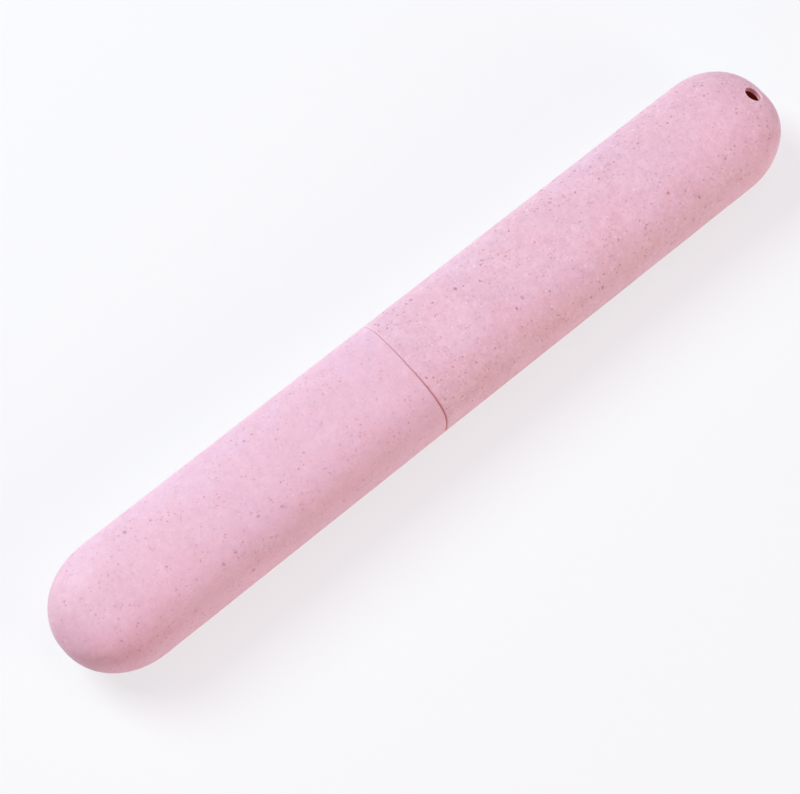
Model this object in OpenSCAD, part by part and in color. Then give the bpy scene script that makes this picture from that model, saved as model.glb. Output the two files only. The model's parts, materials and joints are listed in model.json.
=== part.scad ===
// Travel case for one toothbrush: a squarish oval tube in two halves that pull apart lengthways.
// The closed case lies on its broad side. The origin is under its middle, +X points to the cap's tip
// and +Z points up.

/* [Case] */
// Length of the closed case, tip to tip
case_l = 205; // [190:1:220]
// Width of the case
case_w = 29; // [26:0.5:34]
// Height of the case as it lies
case_h = 20; // [18:0.5:24]
// Length of the base half from its tip to the seam
base_l = 95; // [80:1:110]
// Power of the curve round the tube: 2 is an ellipse, more is squarer
section_power = 2.75; // [2:0.05:4]

/* [Rounded ends] */
// Length of the base's rounded end
base_dome_l = 17; // [12:0.2:25]
// Length of the cap's rounded end
cap_dome_l = 16.4; // [12:0.2:25]
// Power of the ends' outline seen from above: 2 is an ellipse, more is blunter
dome_power = 2.1; // [1.8:0.05:2.6]
// Power of the ends' height against their width: less than 1 keeps them fuller
crown_power = 0.95; // [0.8:0.05:1.2]

/* [Walls] */
// Thickness of the cap's wall
cap_wall = 1.2; // [1.1:0.1:2.2]
// How much thinner the cap's rim is where the neck enters it
rim_step = 0.3; // [0.2:0.1:0.6]
// Thickness of the neck's wall
neck_wall = 1; // [0.8:0.1:1.6]

/* [Neck] */
// Length of the neck that stands out of the base
neck_l = 14; // [11:0.5:20]
// Gap all round between the neck and the cap's rim
neck_gap = 0.15; // [0.1:0.05:0.3]
// Rounding of the neck's open end
neck_edge_r = 0.4; // [0.2:0.1:0.6]
// Distance from the neck's open end back to the middle of the grip bead
bead_back = 6; // [4:0.5:8]
// Length of the grip bead along the neck
bead_l = 2.4; // [1:0.2:3]
// Gap left between the grip bead and the cap's rim
bead_gap = 0.05; // [0.03:0.01:0.08]
// Room between the neck's end and the step at the bottom of the rim
neck_end_gap = 0.5; // [0.3:0.1:1]

/* [Seam] */
// Open line between the closed halves
seam_gap = 0.12; // [0.06:0.02:0.4]
// Rounding of the two outer edges along the seam
seam_edge_r = 0.35; // [0.1:0.05:0.5]

/* [Vent] */
// Width of the vent hole
vent_d = 4.2; // [2:0.1:4.8]
// Distance from the cap's tip to the middle of the vent
vent_inset = 4.5; // [4:0.1:8]
// Depth of the eased edge round the vent's mouth
vent_ease = 0.2; // [0.1:0.05:0.5]

/* [Smoothness] */
// Flats round the tube
sides = 64; // [32:4:96]
// Steps along each rounded end
dome_steps = 12; // [6:1:16]

/* [Hidden] */
straw_pink = "#E3B5C8";
edge_steps = 3;
bead_steps = 6;
vent_facets = 48;

half_w = case_w / 2;
half_h = case_h / 2;
tip_x = case_l / 2;
seam_x = base_l - tip_x;
cap_mouth_x = seam_x + seam_gap;
neck_end_x = seam_x + neck_l;
rim_end_x = neck_end_x + neck_end_gap;
rim_wall = cap_wall - rim_step;
neck_inset = rim_wall + neck_gap;
base_wall = neck_inset + neck_wall;
bead_h = neck_gap - bead_gap;

// The vent stands square to the rounded end: its height over the axis and its lean come from the outline there
vent_along_share = 1 - vent_inset / cap_dome_l;
vent_width_share = pow(1 - pow(vent_along_share, dome_power), 1 / dome_power);
vent_rise = half_h * pow(vent_width_share, crown_power);
vent_lean = atan(
    crown_power * vent_rise / cap_dome_l
    * pow(vent_along_share, dome_power - 1) / pow(vent_width_share, dome_power)
);

// A station is [place along X, half width, half height]. One on the straight tube lies inset from the outside.
function station(x, inset) = [x, half_w - inset, half_h - inset];

// Place along a rounded end, and width left there, as shares of its length and of the tube's width
function dome_share(turn) = [pow(sin(turn), 2 / dome_power), pow(cos(turn), 2 / dome_power)];

// Stations of a rounded end from the straight tube towards its tip, which is left out
function dome(tip, dome_l, inset) = [
    for (i = [0:dome_steps - 1])
    let (share = dome_share(90 * i / dome_steps), way = sign(tip))
    [
        tip - way * (inset + (dome_l - inset) * (1 - share[0])),
        (half_w - inset) * share[1],
        (half_h - inset) * pow(share[1], crown_power)
    ]
];

// Stations of a rounded edge that faces along way, from the tube's side at inset to the end face at x
function edge(x, way, inset, r) = [
    for (i = [0:edge_steps])
    let (turn = 90 * i / edge_steps)
    station(x - way * r * (1 - sin(turn)), inset + r * (1 - cos(turn)))
];

// Stations of the low bead that grips the cap's rim
function bead() = [
    for (i = [0:bead_steps])
    station(
        neck_end_x - bead_back + bead_l * (i / bead_steps - 1 / 2),
        neck_inset - bead_h * sin(180 * i / bead_steps)
    )
];

function reversed(list) = [for (i = [len(list) - 1:-1:0]) list[i]];

// The curve round the tube, stretched so that its outermost flats lie at the full width and height
function round_share(c) = sign(c) * pow(abs(c) / cos(180 / sides), 2 / section_power);

function ring(at) = [
    for (k = [0:sides - 1])
    let (turn = (k + 1 / 2) * 360 / sides)
    [at[0], at[1] * round_share(cos(turn)), half_h + at[2] * round_share(sin(turn))]
];

// A closed wall through the stations in order, with a point on the axis before the first and after the last
module wall_through(first_x, stations, last_x) {
    points = [[first_x, 0, half_h], for (at = stations) each ring(at), [last_x, 0, half_h]];
    last = len(points) - 1;
    start = [for (k = [0:sides - 1]) [0, 1 + k, 1 + (k + 1) % sides]];
    finish = [for (k = [1:sides]) [last, last - k, last - 1 - k % sides]];
    sleeve = [
        for (j = [0:len(stations) - 2], k = [0:sides - 1])
        let (a = 1 + j * sides + k, b = 1 + j * sides + (k + 1) % sides)
        each [[a, a + sides, b + sides], [a, b + sides, b]]
    ];
    polyhedron(points, concat(start, sleeve, finish));
}

// Cutter for the vent: a straight hole, and a cone that eases its edge outside
module vent_cutter() {
    reach = cap_wall + vent_d;
    translate([tip_x - vent_inset, 0, half_h + vent_rise])
    rotate([0, vent_lean, 0]) {
        translate([0, 0, -reach])
        cylinder(h = 2 * reach, d = vent_d, $fn = vent_facets);
        translate([0, 0, -vent_ease])
        cylinder(h = 2 * vent_ease, d1 = vent_d, d2 = vent_d + 4 * vent_ease, $fn = vent_facets);
    }
}

// Shorter half: closed rounded end, straight tube, shoulder at the seam and thin neck with its grip bead
module case_base() {
    color(straw_pink)
    wall_through(
        -tip_x,
        concat(
            reversed(dome(-tip_x, base_dome_l, 0)),
            edge(seam_x, 1, 0, seam_edge_r),
            [station(seam_x, neck_inset)],
            bead(),
            edge(neck_end_x, 1, neck_inset, neck_edge_r),
            [station(neck_end_x, base_wall)],
            dome(-tip_x, base_dome_l, base_wall)
        ),
        base_wall - tip_x
    );
}

// Longer half: closed rounded end with the vent, straight tube, and a thinner rim that the neck enters
module case_cap() {
    color(straw_pink)
    difference() {
        wall_through(
            tip_x - cap_wall,
            concat(
                reversed(dome(tip_x, cap_dome_l, cap_wall)),
                [station(rim_end_x, cap_wall), station(rim_end_x, rim_wall), station(cap_mouth_x, rim_wall)],
                reversed(edge(cap_mouth_x, -1, 0, seam_edge_r)),
                dome(tip_x, cap_dome_l, 0)
            ),
            tip_x
        );
        vent_cutter();
    }
}

case_base();
case_cap();
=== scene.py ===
# %% [markdown]
# # A travel case for one toothbrush
#
# The case is a squarish oval tube in two mouldings. The shorter half, the base, ends in a thin neck, and
# the longer half, the cap, slides over it. Both are one pink plastic with ground straw in it, which shows
# as fine specks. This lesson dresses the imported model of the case: it models the two shells more finely
# than the model does, gives them the speckled plastic, and lights them softly on a pale floor.
#
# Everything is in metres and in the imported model's own frame. The closed case lies along X with its
# underside at z = 0 and the cap towards +X.

# %% Load the frame
import json
from math import atan2, copysign, cos, pi, radians, sin, tau

import bmesh
import bpy
from mathutils import Matrix, Quaternion, Vector
from mathutils.bvhtree import BVHTree


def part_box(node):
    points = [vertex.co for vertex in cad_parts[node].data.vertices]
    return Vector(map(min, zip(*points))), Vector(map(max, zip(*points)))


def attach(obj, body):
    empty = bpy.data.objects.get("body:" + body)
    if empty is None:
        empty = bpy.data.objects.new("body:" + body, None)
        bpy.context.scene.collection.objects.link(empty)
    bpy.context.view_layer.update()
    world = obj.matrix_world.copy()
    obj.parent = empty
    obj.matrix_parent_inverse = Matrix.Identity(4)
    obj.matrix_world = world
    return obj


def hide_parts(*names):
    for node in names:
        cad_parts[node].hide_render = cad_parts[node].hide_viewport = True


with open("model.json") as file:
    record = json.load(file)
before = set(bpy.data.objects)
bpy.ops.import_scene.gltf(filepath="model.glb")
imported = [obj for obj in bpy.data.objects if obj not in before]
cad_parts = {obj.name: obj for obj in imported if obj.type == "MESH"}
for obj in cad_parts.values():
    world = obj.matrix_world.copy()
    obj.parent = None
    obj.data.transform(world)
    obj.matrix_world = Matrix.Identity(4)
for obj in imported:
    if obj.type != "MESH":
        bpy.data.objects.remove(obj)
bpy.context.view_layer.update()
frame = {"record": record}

# %% [markdown]
# ## The sizes of the case
#
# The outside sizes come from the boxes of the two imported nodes, so that the new shells lie exactly where
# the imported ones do: the base ends at its neck and the cap begins at its mouth. The vent's place, lean and
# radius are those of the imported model's mount. Only what no box can tell, such as a wall's thickness, is
# named here.

# %% Sizes from the frame, and the walls
MM = 0.001
base_low, base_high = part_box("case_base")
cap_low, cap_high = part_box("case_cap")
vent = next(m for m in frame["record"]["mounts"] if m["name"] == "vent_hole")

HALF_WIDTH = (base_high.y - base_low.y) / 2
HALF_HEIGHT = (base_high.z - base_low.z) / 2
BASE_TIP, NECK_END = base_low.x, base_high.x
CAP_MOUTH, CAP_TIP = cap_low.x, cap_high.x
VENT_AXIS = Vector(vent["axis"]).normalized()
VENT_RADIUS = vent["dims"]["r_mm"] * MM

SECTION_POWER = 2.75
DOME_POWER = 2.1
CROWN_POWER = 0.95
BASE_DOME = 17 * MM
CAP_DOME = 16.4 * MM
CAP_WALL = 1.2 * MM
RIM_WALL = 0.9 * MM
NECK_WALL = 1.0 * MM
NECK_LENGTH = 14 * MM
NECK_GAP = 0.15 * MM
NECK_EDGE = 0.4 * MM
BEAD_BACK = 6 * MM
BEAD_LENGTH = 2.4 * MM
BEAD_HEIGHT = 0.1 * MM
NECK_ROOM = 0.5 * MM
SEAM_EDGE = 0.35 * MM
SEAM_CLOSED = 0.085 * MM
SEAM_LEAN = 0.03 * MM
VENT_EASE = 0.2 * MM

SEAM = NECK_END - NECK_LENGTH
RIM_END = NECK_END + NECK_ROOM
NECK_INSET = RIM_WALL + NECK_GAP
BASE_WALL = NECK_INSET + NECK_WALL
print("open line at the seam:", round((CAP_MOUTH - SEAM) / MM, 2), "mm")

# %% [markdown]
# ## A tube that changes its size along the way
#
# Every cross-section of the case is the same squarish oval, only larger or smaller. So a shell can be grown
# the way a potter pulls a wall up: one ring is made, its open edge is extruded, and the new edge is moved
# along and resized to the next station. The first ring is the circle operator's, pressed into the oval by
# raising its sine and cosine to a power. A spin can't make this form, because the case isn't round, and a
# subdivided box only comes near it.
#
# A station is a place along X with the half width and half height there. Each point also keeps two shares
# for the plastic to read: a painted shade, deep in the case where hardly any light gets and in front along
# the seam, and a painted highlight on edges that catch the light.

# %% Rings and stations
SIDES = 192
STRAIGHT_STEPS = 12
DOME_STEPS = 44
BEAD_STEPS = 8
# Shares of painted shade in front along the seam, at the foot of the neck and on the mouth's inner edge, and
# the way in over which the painted shade deep in the case grows
SEAM_SHADE = 0.45
ROOT_SHADE = 0.8
RIM_SHADE = 0.5
PAINTED_SHADE_FADE = 60 * MM


def squarish(share):
    """Presses a circle's sine or cosine outwards into the case's squarish oval."""
    return copysign(abs(share) ** (2 / SECTION_POWER), share)


def tube(x, inset):
    """The station at x on the straight tube, inset from the outside."""
    return x, HALF_WIDTH - inset, HALF_HEIGHT - inset


def dome(tip, length, inset):
    """The stations of a rounded end from the straight tube to just before its tip."""
    way = copysign(1, tip)
    stations = []
    for step in range(DOME_STEPS):
        turn = pi / 2 * step / DOME_STEPS
        along, left = sin(turn) ** (2 / DOME_POWER), cos(turn) ** (2 / DOME_POWER)
        x = tip - way * (inset + (length - inset) * (1 - along))
        stations.append((x, (HALF_WIDTH - inset) * left, (HALF_HEIGHT - inset) * left**CROWN_POWER))
    return stations


def straight(start, end, inset):
    """The stations between start and end on the straight tube, without those two."""
    steps = range(1, STRAIGHT_STEPS)
    return [tube(start + (end - start) * step / STRAIGHT_STEPS, inset) for step in steps]


def mark(verts, layers, inside, painted_highlight):
    """Notes on the points their shares of painted shade and of painted highlight."""
    for vert in verts:
        vert[layers[0]], vert[layers[1]] = inside, painted_highlight


class Wall:
    """A shell in the making: a mesh, the station of its open edge, and that edge."""

    def __init__(self, tip, station):
        self.mesh = bmesh.new()
        # The painted shade that new rings get until a mouth is set
        self.inside = 0
        self.mouth = None
        # The two layers hold each point's share of painted shade and of painted highlight
        self.layers = [self.mesh.verts.layers.float.new(name) for name in ("inside", "painted_highlight")]
        self.rings = {}
        facing_x = Matrix.Rotation(radians(90), 4, "Y")
        made = bmesh.ops.create_circle(self.mesh, cap_ends=False, radius=1, segments=SIDES, matrix=facing_x)
        self.station = station
        x, half_w, half_h = station
        for vert in made["verts"]:
            vert.co = x, half_w * squarish(vert.co.y), HALF_HEIGHT + half_h * squarish(vert.co.z)
        first_ring = self.edge = list(self.mesh.edges)
        self.close(tip)
        self.edge = first_ring

    def grow(self, station, name=None):
        """Extrudes the open edge and takes the new one to a station; a name keeps the new ring for later."""
        made = bmesh.ops.extrude_edge_only(self.mesh, edges=self.edge)["geom"]
        verts = [part for part in made if isinstance(part, bmesh.types.BMVert)]
        self.edge = [part for part in made if isinstance(part, bmesh.types.BMEdge)]
        ratio = 1, station[1] / self.station[1], station[2] / self.station[2]
        to_axis = Matrix.Translation((0, 0, -HALF_HEIGHT))
        bmesh.ops.scale(self.mesh, vec=ratio, space=to_axis, verts=verts)
        bmesh.ops.translate(self.mesh, vec=(station[0] - self.station[0], 0, 0), verts=verts)
        mark(verts, self.layers, self.depth(station[0]), 0)
        self.station = station
        if name:
            self.rings[name] = self.edge
        return verts

    def depth(self, x):
        """The painted shade of a ring at x: past the mouth, it grows from 0 to 1 with the way in, as less
        light gets deeper into the case.
        """
        return self.inside if self.mouth is None else min(1, abs(x - self.mouth) / PAINTED_SHADE_FADE)

    def follow(self, stations):
        for station in stations:
            self.grow(station)

    def close(self, tip):
        """Draws the open edge together in one point on the axis."""
        last = self.grow(self.station)
        bmesh.ops.pointmerge(self.mesh, verts=last, merge_co=(tip, 0, HALF_HEIGHT))

    def seat(self, name, forward, lean):
        """Moves and leans a ring at the seam a hair, and paints light and shade on it: a pale highlight
        behind, a redder shade in front.
        """
        for vert in {vert for edge in self.rings[name] for vert in edge.verts}:
            back = vert.co.y / HALF_WIDTH
            vert.co.x += forward + lean * back
            mark([vert], self.layers, SEAM_SHADE * ((1 - back) / 2) ** 2, (1 + back) / 2)

    def round_off(self, names, radius, segments):
        """Rounds the corners that the named rings run along."""
        bmesh.ops.bevel(
            self.mesh,
            geom=[edge for name in names for edge in self.rings[name]],
            offset=radius,
            offset_type="OFFSET",
            affect="EDGES",
            segments=segments,
            profile=0.5,
            material=-1,
        )


# %% [markdown]
# ## The base
#
# The base is grown from its tip: out along the rounded end and the straight tube, in at the shoulder, on
# along the neck with its low grip bead, over the neck's open end, and back inside to the inner tip. That
# path makes both sides of the wall at once, so the shell is closed and its thickness is real. Its corners
# stay sharp at first. A close ring beside each corner holds the flat stretches flat when the bevel operator
# rounds it.
#
# Two closed halves never meet quite evenly. Before it is rounded, the shoulder's ring is seated: it moves a
# hair towards the cap and leans, so that the open line all but closes at the back and stays open in front.
# Where the light from behind reaches into the line, its edges get a pale painted highlight; in front, where
# it doesn't, they get a redder painted shade.

# %% Grow the base
HOLD = 0.2 * MM


def grow_base():
    wall = Wall(BASE_TIP, dome(BASE_TIP, BASE_DOME, 0)[-1])
    wall.follow(reversed(dome(BASE_TIP, BASE_DOME, 0)[:-1]))
    tube_start = BASE_TIP + BASE_DOME
    wall.follow(straight(tube_start, SEAM, 0))
    wall.grow(tube(SEAM - SEAM_EDGE - HOLD, 0))
    wall.grow(tube(SEAM, 0), "shoulder")
    # The foot of the neck, deep in the line, gets a painted shade
    wall.inside = ROOT_SHADE
    wall.grow(tube(SEAM, NECK_INSET))
    wall.inside = 0
    wall.grow(tube(SEAM + HOLD, NECK_INSET))
    bead = NECK_END - BEAD_BACK
    for step in range(BEAD_STEPS + 1):
        x = bead + BEAD_LENGTH * (step / BEAD_STEPS - 1 / 2)
        wall.grow(tube(x, NECK_INSET - BEAD_HEIGHT * sin(pi * step / BEAD_STEPS)))
    wall.grow(tube(NECK_END - NECK_EDGE - HOLD, NECK_INSET))
    wall.grow(tube(NECK_END, NECK_INSET), "neck_outside")
    wall.mouth = NECK_END
    wall.grow(tube(NECK_END, BASE_WALL), "neck_inside")
    wall.grow(tube(NECK_END - NECK_EDGE - HOLD, BASE_WALL))
    wall.follow(straight(NECK_END, tube_start, BASE_WALL)[1:])
    wall.follow(dome(BASE_TIP, BASE_DOME, BASE_WALL))
    wall.close(BASE_TIP + BASE_WALL)
    # Paints a pale highlight behind and a redder shade in front on the base's edge of the line
    wall.seat("shoulder", SEAM_CLOSED, SEAM_LEAN)
    wall.round_off(["shoulder"], SEAM_EDGE, segments=5)
    wall.round_off(["neck_outside"], NECK_EDGE, segments=4)
    wall.round_off(["neck_inside"], NECK_EDGE / 2, segments=3)
    return wall.mesh


# %% [markdown]
# ## The cap
#
# The cap grows the same way, from its outer tip along the outside to the mouth and back inside. Its wall is
# thinner for the length of the neck, which leaves a step where the neck ends.

# %% Grow the cap
def grow_cap():
    wall = Wall(CAP_TIP, dome(CAP_TIP, CAP_DOME, 0)[-1])
    wall.follow(reversed(dome(CAP_TIP, CAP_DOME, 0)[:-1]))
    tube_start = CAP_TIP - CAP_DOME
    wall.follow(straight(tube_start, CAP_MOUTH, 0))
    wall.grow(tube(CAP_MOUTH + SEAM_EDGE + HOLD, 0))
    wall.grow(tube(CAP_MOUTH, 0), "mouth_outside")
    # The inner edge of the mouth gets a painted shade
    wall.inside = RIM_SHADE
    wall.grow(tube(CAP_MOUTH, RIM_WALL), "mouth_inside")
    wall.mouth = CAP_MOUTH
    wall.grow(tube(CAP_MOUTH + SEAM_EDGE + HOLD, RIM_WALL))
    wall.grow(tube(RIM_END, RIM_WALL))
    wall.grow(tube(RIM_END, CAP_WALL))
    wall.follow(straight(RIM_END, tube_start, CAP_WALL))
    wall.follow(dome(CAP_TIP, CAP_DOME, CAP_WALL))
    wall.close(CAP_TIP - CAP_WALL)
    # Paints the same highlight and shade on the cap's edge of the line, without moving it
    wall.seat("mouth_outside", forward=0, lean=0)
    wall.round_off(["mouth_outside"], SEAM_EDGE, segments=5)
    wall.round_off(["mouth_inside"], SEAM_EDGE / 3, segments=2)
    return wall.mesh, wall.layers


# %% [markdown]
# ## The vent
#
# A round hole goes through the wall near the cap's tip. A boolean could drill it, but it leaves slivers on
# the curved wall, and they spoil the soft edge. Here the hole is opened in the mesh instead. The faces
# inside a circle are deleted on both sides of the wall, the ragged edges that are left are pressed into
# true circles, and the outer one is extruded ring by ring: in over an eased lip, down the bore, and out to
# meet the inner one. Each new point is found by casting a ray along the hole's axis onto the wall as it
# was, so the patch lies exactly on the wall. The bore's points carry a painted shade and those of its two
# rims a painted highlight, so the rims come out pale and the bore between them a deeper rose.

# %% Open the vent
LIP_STEPS = 6
VENT_MARGIN = 0.5 * MM
RAYS_INSIDE = 2 * CAP_WALL
RAYS_APART = 6 * CAP_WALL
NEAR_WALL = 0.7 * CAP_WALL
# Painted shade for the bore, and a painted highlight for the two rims of the hole
BORE_PAINTED_SHADE = 0.6, 0
RIM_PAINTED_HIGHLIGHT = 0, 1


def open_vent(mesh, layers):
    wall = BVHTree.FromBMesh(mesh)
    across = Vector((0, 1, 0))
    along = across.cross(VENT_AXIS)
    inside = Vector(vent["pos_m"]) - RAYS_INSIDE * VENT_AXIS
    outside = inside + RAYS_APART * VENT_AXIS

    def angle(point):
        arm = point - inside
        return atan2(arm.dot(across), arm.dot(along))

    def on_wall(turn, radius, start, way, sink=0):
        """The point of the wall that a ray meets at this turn and radius, sunk along the axis."""
        arm = radius * (cos(turn) * along + sin(turn) * across)
        hit = wall.ray_cast(start + arm, way)[0]
        return hit - sink * VENT_AXIS

    def cut(start, way, radius):
        """Deletes the faces within the radius that the rays meet, and presses the edge into a circle."""
        centre = on_wall(0, 0, start, way)

        def near(face):
            arm = face.calc_center_median() - centre
            depth = arm.dot(VENT_AXIS)
            return abs(depth) < NEAR_WALL and (arm - depth * VENT_AXIS).length < radius

        faces = [face for face in mesh.faces if near(face)]
        border = {edge for face in faces for edge in face.edges if not all(near(f) for f in edge.link_faces)}
        bmesh.ops.delete(mesh, geom=faces, context="FACES")
        edges = [edge for edge in border if edge.is_valid and len(edge.link_faces) == 1]
        verts = sorted({v for edge in edges for v in edge.verts}, key=lambda v: angle(v.co))
        first = angle(verts[0].co)
        for place, vert in enumerate(verts):
            vert.co = on_wall(first + tau * place / len(verts), radius, start, way)
        return edges

    outer = cut(outside, -VENT_AXIS, VENT_RADIUS + VENT_EASE + VENT_MARGIN)
    inner = cut(inside, VENT_AXIS, VENT_RADIUS + VENT_MARGIN)

    def next_ring(edges, radius, start, way, sink, shares):
        made = bmesh.ops.extrude_edge_only(mesh, edges=edges)["geom"]
        verts = [part for part in made if isinstance(part, bmesh.types.BMVert)]
        mark(verts, layers, *shares)
        for vert in verts:
            vert.co = on_wall(angle(vert.co), radius, start, way, sink)
        return [part for part in made if isinstance(part, bmesh.types.BMEdge)]

    ring = outer
    for step in range(LIP_STEPS + 1):
        turn = pi / 2 * step / LIP_STEPS
        radius = VENT_RADIUS + VENT_EASE * (1 - sin(turn))
        ring = next_ring(ring, radius, outside, -VENT_AXIS, VENT_EASE * (1 - cos(turn)), RIM_PAINTED_HIGHLIGHT)
    for sink in (CAP_WALL / 3, CAP_WALL * 2 / 3):
        ring = next_ring(ring, VENT_RADIUS, outside, -VENT_AXIS, sink, BORE_PAINTED_SHADE)
    ring = next_ring(ring, VENT_RADIUS, inside, VENT_AXIS, 0, RIM_PAINTED_HIGHLIGHT)
    bmesh.ops.bridge_loops(mesh, edges=ring + inner)
    return len(outer)


# %% [markdown]
# ## From mesh to piece
#
# Each shell is one closed surface, so its normals can be turned outwards in one go. Edges that are still
# sharp, such as the step inside the cap, keep a hard shade, and everything else is smooth. The finished
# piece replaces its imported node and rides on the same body, so it moves when the cap is pulled off.

# %% Make the pieces
SHARP = radians(40)


def piece(name, mesh, node, body):
    bmesh.ops.recalc_face_normals(mesh, faces=mesh.faces)
    for face in mesh.faces:
        face.smooth = True
    for edge in mesh.edges:
        edge.smooth = edge.calc_face_angle(0) < SHARP
    open_edges = sum(not edge.is_manifold for edge in mesh.edges)
    data = bpy.data.meshes.new(name)
    mesh.to_mesh(data)
    mesh.free()
    made = bpy.data.objects.new(name, data)
    bpy.context.scene.collection.objects.link(made)
    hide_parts(node)
    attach(made, body)
    print(name, len(data.polygons), "faces,", open_edges, "open edges")
    return made


cap_mesh, cap_layers = grow_cap()
print("points round the vent:", open_vent(cap_mesh, cap_layers))
base_shell = piece("base_shell", grow_base(), "case_base", "base")
cap_shell = piece("cap_shell", cap_mesh, "case_cap", "cap")

# %% [markdown]
# ## Shader maths in Python
#
# A material is a graph of nodes, and arithmetic in it is hard to read as a list of links. This small class
# wraps a node's output, so that a sum or a product of two outputs is written as one and adds its Math node.
# Any other node is made by node(), which sets the node's settings first and then its sockets. Its outputs
# come back by name.

# %% A wire between nodes
class Wire:
    """An output of a shader node, for sums and for the sockets of other nodes."""

    def __init__(self, tree, socket=None):
        self.tree = tree
        self.socket = socket

    def node(self, kind, settings, sockets):
        """Adds a node with these settings, and with these values or wires at its sockets."""
        made = self.tree.nodes.new("ShaderNode" + kind)
        for name, value in settings.items():
            setattr(made, name, value)
        live = [socket for socket in made.inputs if socket.enabled]
        for key, value in sockets.items():
            socket = live[key] if isinstance(key, int) else next(s for s in live if s.name == key)
            if isinstance(value, Wire):
                self.tree.links.new(value.socket, socket)
            else:
                socket.default_value = value
        return {output.name: Wire(self.tree, output) for output in made.outputs if output.enabled}

    def maths(self, operation, first, second):
        return self.node("Math", {"operation": operation}, {0: first, 1: second})["Value"]

    def __add__(self, other):
        return self.maths("ADD", self, other)

    def __radd__(self, other):
        return self.maths("ADD", other, self)

    def __sub__(self, other):
        return self.maths("SUBTRACT", self, other)

    def __rsub__(self, other):
        return self.maths("SUBTRACT", other, self)

    def __mul__(self, other):
        return self.maths("MULTIPLY", self, other)

    def __rmul__(self, other):
        return self.maths("MULTIPLY", other, self)

    def __lt__(self, other):
        return self.maths("LESS_THAN", self, other)

    def __gt__(self, other):
        return self.maths("GREATER_THAN", self, other)


def mixed(first, second, share):
    """A colour that goes from first to second as the wire share goes from 0 to 1."""
    sockets = {"Factor": share, "A": first, "B": second}
    return share.node("Mix", {"data_type": "RGBA"}, sockets)["Result"]


def eased(value, start, end):
    """Goes smoothly from 0 to 1 while value goes from start to end."""
    sockets = {"Value": value, "From Min": start, "From Max": end}
    return value.node("MapRange", {"interpolation_type": "SMOOTHSTEP"}, sockets)["Result"]


# %% [markdown]
# ## The straw plastic
#
# The plastic is a satin pink with ground wheat straw stirred in. Seen close, nothing in it is even. The
# pink drifts between lilac and rose and between deep and pale over a centimetre, is faintly cloudy at two
# millimetres and grained below one. It holds many fine mauve flecks of straw, fewer and larger brown ones,
# some tan and pale ones, and thin fibres. They crowd together in some places and leave others nearly clean.
# The two halves were moulded apart, so each has its own pinks and its own pattern, and the cap shows more
# straw. Both are rosier at their rounded ends.
#
# A Noise Texture gives the drift, the clouds, the grain and the crowding. The flecks come from Voronoi
# Textures: every cell has one point, and the distance to it draws a spot, whose radius and darkness come
# from the cell's own random colour. The darkness goes with that number's square, so most flecks are faint
# and a few are dark. The pattern fills space and isn't laid on the surface. So flecks are cut by it at all
# depths, as the real ones are, and nothing stretches at the rounded ends. The fibres are spots in a space
# squeezed along one direction.
#
# Inside the case, light has bounced from pink to pink before it comes out, which a few bounces of a render
# can't follow far enough. A painted shade that the points carry stands in for the rest: a deep rose with a
# very faint painted glow. The same painted shade darkens the seam's line in front, and a painted highlight
# that the points carry turns the seam's edges and the vent's rims paler.

# %% Places for the pattern
SHAKE_SCALE = 2.2
SHAKE_WIDTH = 0.7
FIBRE_TILT = 0.3, 0.2
FIBRE_SQUEEZE = 0.3
FAINTEST = 0.25


def mapped(place, changes):
    """The place moved, turned or scaled by a Mapping node."""
    return place.node("Mapping", {"vector_type": "POINT"}, {"Vector": place, **changes})["Vector"]


def in_millimetres(tree, shift):
    """The place on the object in millimetres, shaken a little so that spots get ragged edges."""
    place = Wire(tree).node("TexCoord", {}, {})["Object"]
    place = mapped(place, {"Scale": (1 / MM, 1 / MM, 1 / MM), "Location": shift})
    shake = place.node("TexNoise", {}, {"Vector": place, "Scale": SHAKE_SCALE, "Detail": 1})["Color"]
    scaled = {"Vector": shake, "Scale": SHAKE_WIDTH}
    ragged = place.node("VectorMath", {"operation": "SCALE"}, scaled)["Vector"]
    return place.node("VectorMath", {"operation": "ADD"}, {0: place, 1: ragged})["Vector"]


def noise(place, size, detail):
    """Noise between 0 and 1 with patches of about this size in millimetres."""
    return place.node("TexNoise", {}, {"Vector": place, "Scale": 1 / size, "Detail": detail})["Fac"]


def squeezed(place, turn):
    """The place turned about Z and squeezed along X, so that a spot there is drawn out into a fibre."""
    turned = mapped(place, {"Rotation": (*FIBRE_TILT, radians(turn))})
    return mapped(turned, {"Scale": (FIBRE_SQUEEZE, 1, 1)})


def flecks(place, cell, radii, kept, soft, shift):
    """Soft spots with radii between two sizes in millimetres, in a kept share of the cells of this size."""
    moved = mapped(place, {"Location": (shift, shift, shift)})
    found = place.node("TexVoronoi", {}, {"Vector": moved, "Scale": 1 / cell})
    drawn = place.node("SeparateColor", {}, {"Color": found["Color"]})
    small, large = radii
    radius = small / cell + (large - small) / cell * drawn["Red"]
    spot = eased(radius - found["Distance"], -soft / cell, soft / cell)
    darkness = FAINTEST + (1 - FAINTEST) * drawn["Blue"] * drawn["Blue"]
    return spot * (drawn["Green"] < kept) * darkness


def share_of(tree, name):
    """A share that the piece's points carry."""
    return Wire(tree).node("Attribute", {"attribute_type": "GEOMETRY", "attribute_name": name}, {})["Fac"]


# %% Speckled pink plastic
BASE_PINKS = (0.800, 0.508, 0.655, 1), (0.814, 0.490, 0.614, 1), (0.784, 0.468, 0.590, 1)
CAP_PINKS = (0.783, 0.497, 0.627, 1), (0.799, 0.477, 0.586, 1), (0.828, 0.480, 0.602, 1)
DEEP = (0.680, 0.365, 0.470, 1)
PALE = (0.930, 0.640, 0.765, 1)
MAUVE_STRAW = (0.450, 0.120, 0.192, 1)
BROWN_STRAW = (0.380, 0.100, 0.146, 1)
TAN_STRAW = (0.660, 0.320, 0.280, 1)
PALE_STRAW = (0.950, 0.680, 0.790, 1)
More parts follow.
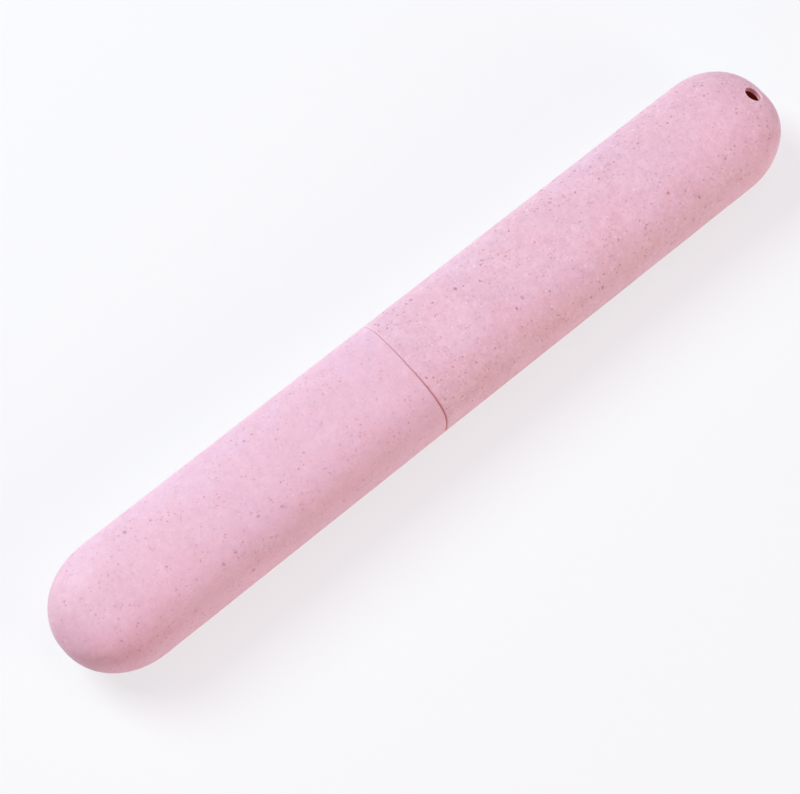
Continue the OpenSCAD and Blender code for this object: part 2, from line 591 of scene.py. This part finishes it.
# A painted shade for deep in the case and in the seam's line, and a faint painted glow for light bounced
# inside
PAINTED_SHADE_ROSE = (0.500, 0.120, 0.110, 1)
BLACK = (0, 0, 0, 1)
PAINTED_GLOW = (0.030, 0.002, 0.001, 1)

# The distances from the middle of the case between which the pink turns to that of the rounded end
END_BEGINS = 66 * MM
END_FULL = 96 * MM

# How strongly each layer of the pattern shows
BROAD_SHARE = 0.15
CLOUD_SHARE = 0.23
GRAIN_SHARE = 0.24
FINE_SHARE = 0.66
FIBRE_SHARE = 0.60
COARSE_SHARE = 0.54
BOLD_SHARE = 0.56
TAN_SHARE = 0.60
PALE_SHARE = 0.70
END_SHARE = 0.8
# How much of the pale the painted highlight on the seam's edges and the vent's rims takes
PAINTED_HIGHLIGHT_SHARE = 0.5

# How strongly the straw shows in each half, and where each half's pattern begins, in millimetres
BASE_STRAW = 0.85
CAP_STRAW = 1.28
BASE_SHIFT = (0, 0, 0)
CAP_SHIFT = (43, 21, 9)

# The turn in degrees and the cell in millimetres of each of the three layers of fibres
FIBRE_LAYERS = (25, 1.4), (-50, 1.5), (95, 1.6)

# The noise's middle, the range that it mostly keeps to, and how low and how high it seldom gets
NOISE_MIDDLE = 0.5
NOISE_REACH = 0.35, 0.65
NOISE_LOW = 0.25
NOISE_HIGH = 0.75

# The part of the slow noise in the drift, and how thinly and how much more the flecks can crowd
SLOW_PART = 0.65
CROWD_LEAST = 0.3
CROWD_SPREAD = 1.4

# The relief of the skin and grain, how far straw is sunk in it, and what grain and straw add to the roughness
RELIEF_DEPTH = 0.01 * MM
RELIEF_STRENGTH = 0.5
SKIN_RELIEF = 0.5
GRAIN_RELIEF = 0.6
COARSE_SUNK = 0.35
FINE_SUNK = 0.2
ROUGHNESS = 0.50
GRAIN_ROUGHNESS = 0.07
COARSE_ROUGHNESS = 0.06


def straw_plastic(name, pinks, straw, shift):
    """The plastic of one half: its pinks, how strongly the straw shows, and where its pattern begins."""
    material = bpy.data.materials.new(name)
    material.use_nodes = True
    tree = material.node_tree
    place = in_millimetres(tree, shift)
    slow = noise(place, size=14, detail=2)
    quick = noise(place, size=4, detail=1)
    drift = eased(SLOW_PART * slow + (1 - SLOW_PART) * quick, *NOISE_REACH)
    lilac, rose, end_pink = pinks
    colour = mixed(lilac, rose, drift)
    middle = Wire(tree).node("TexCoord", {}, {})["Object"]
    along = middle.node("SeparateXYZ", {}, {"Vector": middle})["X"]
    colour = mixed(colour, end_pink, END_SHARE * eased(along * along, END_BEGINS**2, END_FULL**2))
    broad = noise(place, size=9, detail=1)
    cloud = noise(place, size=2, detail=1)
    grain = noise(place, size=0.7, detail=2)
    for patch, strength in ((broad, BROAD_SHARE), (cloud, CLOUD_SHARE), (grain, GRAIN_SHARE)):
        colour = mixed(colour, DEEP, straw * strength * eased(patch, NOISE_MIDDLE, NOISE_LOW))
        colour = mixed(colour, PALE, straw * strength * eased(patch, NOISE_MIDDLE, NOISE_HIGH))
    crowd = CROWD_LEAST + CROWD_SPREAD * eased(noise(place, size=5, detail=1), *NOISE_REACH)
    fine = flecks(place, cell=0.8, radii=(0.08, 0.26), kept=0.62 * crowd, soft=0.15, shift=3)
    fibres = sum(
        flecks(squeezed(place, turn), cell, radii=(0.06, 0.18), kept=0.26 * crowd, soft=0.12, shift=0)
        for turn, cell in FIBRE_LAYERS
    )
    coarse = flecks(place, cell=1.8, radii=(0.10, 0.38), kept=0.45 * crowd, soft=0.18, shift=7)
    bold = flecks(place, cell=4.2, radii=(0.25, 0.50), kept=0.40 * crowd, soft=0.18, shift=31)
    tan = flecks(place, cell=2.9, radii=(0.15, 0.40), kept=0.25, soft=0.18, shift=13)
    pale = flecks(place, cell=0.9, radii=(0.10, 0.26), kept=0.65, soft=0.16, shift=19)
    for kind, strength, layer in (
        (PALE_STRAW, PALE_SHARE, pale),
        (MAUVE_STRAW, FINE_SHARE, fine),
        (MAUVE_STRAW, FIBRE_SHARE, fibres),
        (TAN_STRAW, TAN_SHARE, tan),
        (BROWN_STRAW, COARSE_SHARE, coarse),
        (BROWN_STRAW, BOLD_SHARE, bold),
    ):
        colour = mixed(colour, kind, straw * strength * layer)
    # Painted shade with a faint painted glow where the points carry the inside share, and a painted highlight
    # on their lit edges
    inside = share_of(tree, "inside")
    colour = mixed(colour, PALE, PAINTED_HIGHLIGHT_SHARE * share_of(tree, "painted_highlight"))
    colour = mixed(colour, PAINTED_SHADE_ROSE, inside)
    glow = mixed(BLACK, PAINTED_GLOW, inside)
    skin = noise(place, size=0.16, detail=1)
    relief = SKIN_RELIEF * skin + GRAIN_RELIEF * grain - COARSE_SUNK * coarse - FINE_SUNK * fine
    raised = {"Strength": RELIEF_STRENGTH, "Distance": RELIEF_DEPTH, "Height": relief}
    bump = place.node("Bump", {}, raised)["Normal"]
    roughness = ROUGHNESS + GRAIN_ROUGHNESS * grain + COARSE_ROUGHNESS * coarse
    surface = tree.nodes["Principled BSDF"]
    tree.links.new(colour.socket, surface.inputs["Base Color"])
    tree.links.new(roughness.socket, surface.inputs["Roughness"])
    tree.links.new(glow.socket, surface.inputs["Emission Color"])
    tree.links.new(bump.socket, surface.inputs["Normal"])
    surface.inputs["Emission Strength"].default_value = 1
    print(name, "has", len(tree.nodes), "nodes")
    return material


base_shell.data.materials.append(straw_plastic("base_plastic", BASE_PINKS, BASE_STRAW, BASE_SHIFT))
cap_shell.data.materials.append(straw_plastic("cap_plastic", CAP_PINKS, CAP_STRAW, CAP_SHIFT))

# %% [markdown]
# ## The floor
#
# The case lies on a pale sheet that runs out of the picture. Its shadow is faint, because the studio around
# it throws light back from everywhere. More lamps could lift it, but they would bleach the pink too. So
# part of what the camera sees of the floor is the sheet's own pale colour, and the rest is the lit sheet
# with the shadow. Light Path tells the two kinds of ray apart, and the case is still lit by a plain white
# sheet.

# %% Pale floor
FLOOR_SHEET = (0.91, 0.915, 0.93, 1)
FLOOR_SEEN = (0.960, 0.965, 0.990, 1)
SHADOW_HIDDEN = 0.72
BACKDROP_SEEN = 0.95
FLOOR_REACH = 4


def either(first, second):
    """1 where either wire is 1."""
    return first.maths("MAXIMUM", first, second)


def seen_rays(tree):
    """1 for a ray from the camera and for its reflections, and 0 for light that falls on the case."""
    path = Wire(tree).node("LightPath", {}, {})
    return either(path["Is Camera Ray"], either(path["Is Glossy Ray"], path["Is Transmission Ray"]))


def pale_floor():
    mesh = bmesh.new()
    bmesh.ops.create_grid(mesh, x_segments=1, y_segments=1, size=FLOOR_REACH)
    data = bpy.data.meshes.new("floor")
    mesh.to_mesh(data)
    mesh.free()
    made = bpy.data.objects.new("floor", data)
    bpy.context.scene.collection.objects.link(made)
    material = bpy.data.materials.new("pale_floor")
    material.use_nodes = True
    tree = material.node_tree
    share = SHADOW_HIDDEN * seen_rays(tree)
    pale = share.node("Emission", {}, {"Color": FLOOR_SEEN, "Strength": 1})["Emission"]
    surface = tree.nodes["Principled BSDF"]
    surface.inputs["Base Color"].default_value = FLOOR_SHEET
    surface.inputs["Roughness"].default_value = 0.8
    surface.inputs["Specular IOR Level"].default_value = 0.1
    lit = Wire(tree, surface.outputs["BSDF"])
    both = share.node("MixShader", {}, {0: share, 1: lit, 2: pale})["Shader"]
    tree.links.new(both.socket, tree.nodes["Material Output"].inputs["Surface"])
    data.materials.append(material)


pale_floor()
print("floor:", 2 * FLOOR_REACH, "m wide")

# %% [markdown]
# ## The light
#
# The case seems to have been lit by a broad window behind it and a little to its left, and by light thrown
# back from in front and from the ceiling. Large square lamps a metre and a half away stand in for these,
# because only a large lamp gives such soft changes from the top to the sides. The key is a little cool and
# the front one a little warm. A weak red lamp in front on the left turns the near side of the base to rose,
# as a warm surface there would.

# %% Lamps
CENTRE = Vector((0, 0, HALF_HEIGHT))
LAMP_DISTANCE = 1.5
LAMP_SIZE = 0.8


def direction(azimuth, elevation):
    """The way from the case towards a viewer or a lamp: azimuth 0 is in front, at -Y, and 90 is at +X."""
    a, e = radians(azimuth), radians(elevation)
    return Vector((sin(a) * cos(e), -cos(a) * cos(e), sin(e)))


def softbox(name, azimuth, elevation, watts, colour):
    data = bpy.data.lights.new(name, "AREA")
    data.shape = "SQUARE"
    data.size = LAMP_SIZE
    data.energy = watts
    data.color = colour
    lamp = bpy.data.objects.new(name, data)
    bpy.context.scene.collection.objects.link(lamp)
    way = direction(azimuth, elevation)
    lamp.location = CENTRE + LAMP_DISTANCE * way
    lamp.rotation_mode = "QUATERNION"
    lamp.rotation_quaternion = way.to_track_quat("Z", "Y")
    lamp.visible_camera = False
    return lamp


lamps = [
    softbox("key", azimuth=202, elevation=44, watts=23.9, colour=(0.84, 1.0, 0.988)),
    softbox("front_fill", azimuth=22, elevation=20, watts=10.5, colour=(0.981, 1.0, 0.858)),
    softbox("high_fill", azimuth=120, elevation=68, watts=5.2, colour=(1.0, 0.665, 0.838)),
    softbox("warm_side", azimuth=315, elevation=32, watts=3.1, colour=(1.0, 0.05, 0.05)),
]
print(len(lamps), "lamps with", round(sum(lamp.data.energy for lamp in lamps), 1), "W in all")

# %% Pale surroundings
def pale_world():
    world = bpy.data.worlds.new("studio")
    bpy.context.scene.world = world
    world.use_nodes = True
    tree = world.node_tree
    share = seen_rays(tree)
    pale = share.node("Background", {}, {"Color": FLOOR_SEEN, "Strength": BACKDROP_SEEN})["Background"]
    dark = share.node("Background", {}, {"Color": FLOOR_SEEN, "Strength": 0})["Background"]
    both = share.node("MixShader", {}, {0: share, 1: dark, 2: pale})["Shader"]
    tree.links.new(both.socket, tree.nodes["World Output"].inputs["Surface"])


pale_world()
print("surroundings:", bpy.context.scene.world.name)

# %% [markdown]
# ## The camera
#
# The photograph was taken from high up at the base's end, with a long lens, and the camera was turned a
# little.

# %% Camera
VIEW_AZIMUTH = -47.19
VIEW_ELEVATION = 67.65
VIEW_ROLL = 6.74
VIEW_DISTANCE = 611.3 * MM
SENSOR_WIDTH = 36
FOCAL_LENGTH = 125.57
AIM = Vector((-10.6 * MM, -2.6 * MM, HALF_HEIGHT))

camera_data = bpy.data.cameras.new("camera")
camera_data.sensor_width = SENSOR_WIDTH
camera_data.lens = FOCAL_LENGTH
camera = bpy.data.objects.new("camera", camera_data)
bpy.context.scene.collection.objects.link(camera)
back = direction(VIEW_AZIMUTH, VIEW_ELEVATION)
right = Vector((0, 0, 1)).cross(back).normalized()
level = Matrix((right, back.cross(right), back)).transposed().to_quaternion()
camera.rotation_mode = "QUATERNION"
camera.rotation_quaternion = Quaternion(back, radians(VIEW_ROLL)) @ level
camera.location = AIM + VIEW_DISTANCE * back
bpy.context.scene.camera = camera
bpy.context.scene.view_settings.view_transform = "Standard"
print("camera:", [round(side / MM) for side in camera.location], "mm")
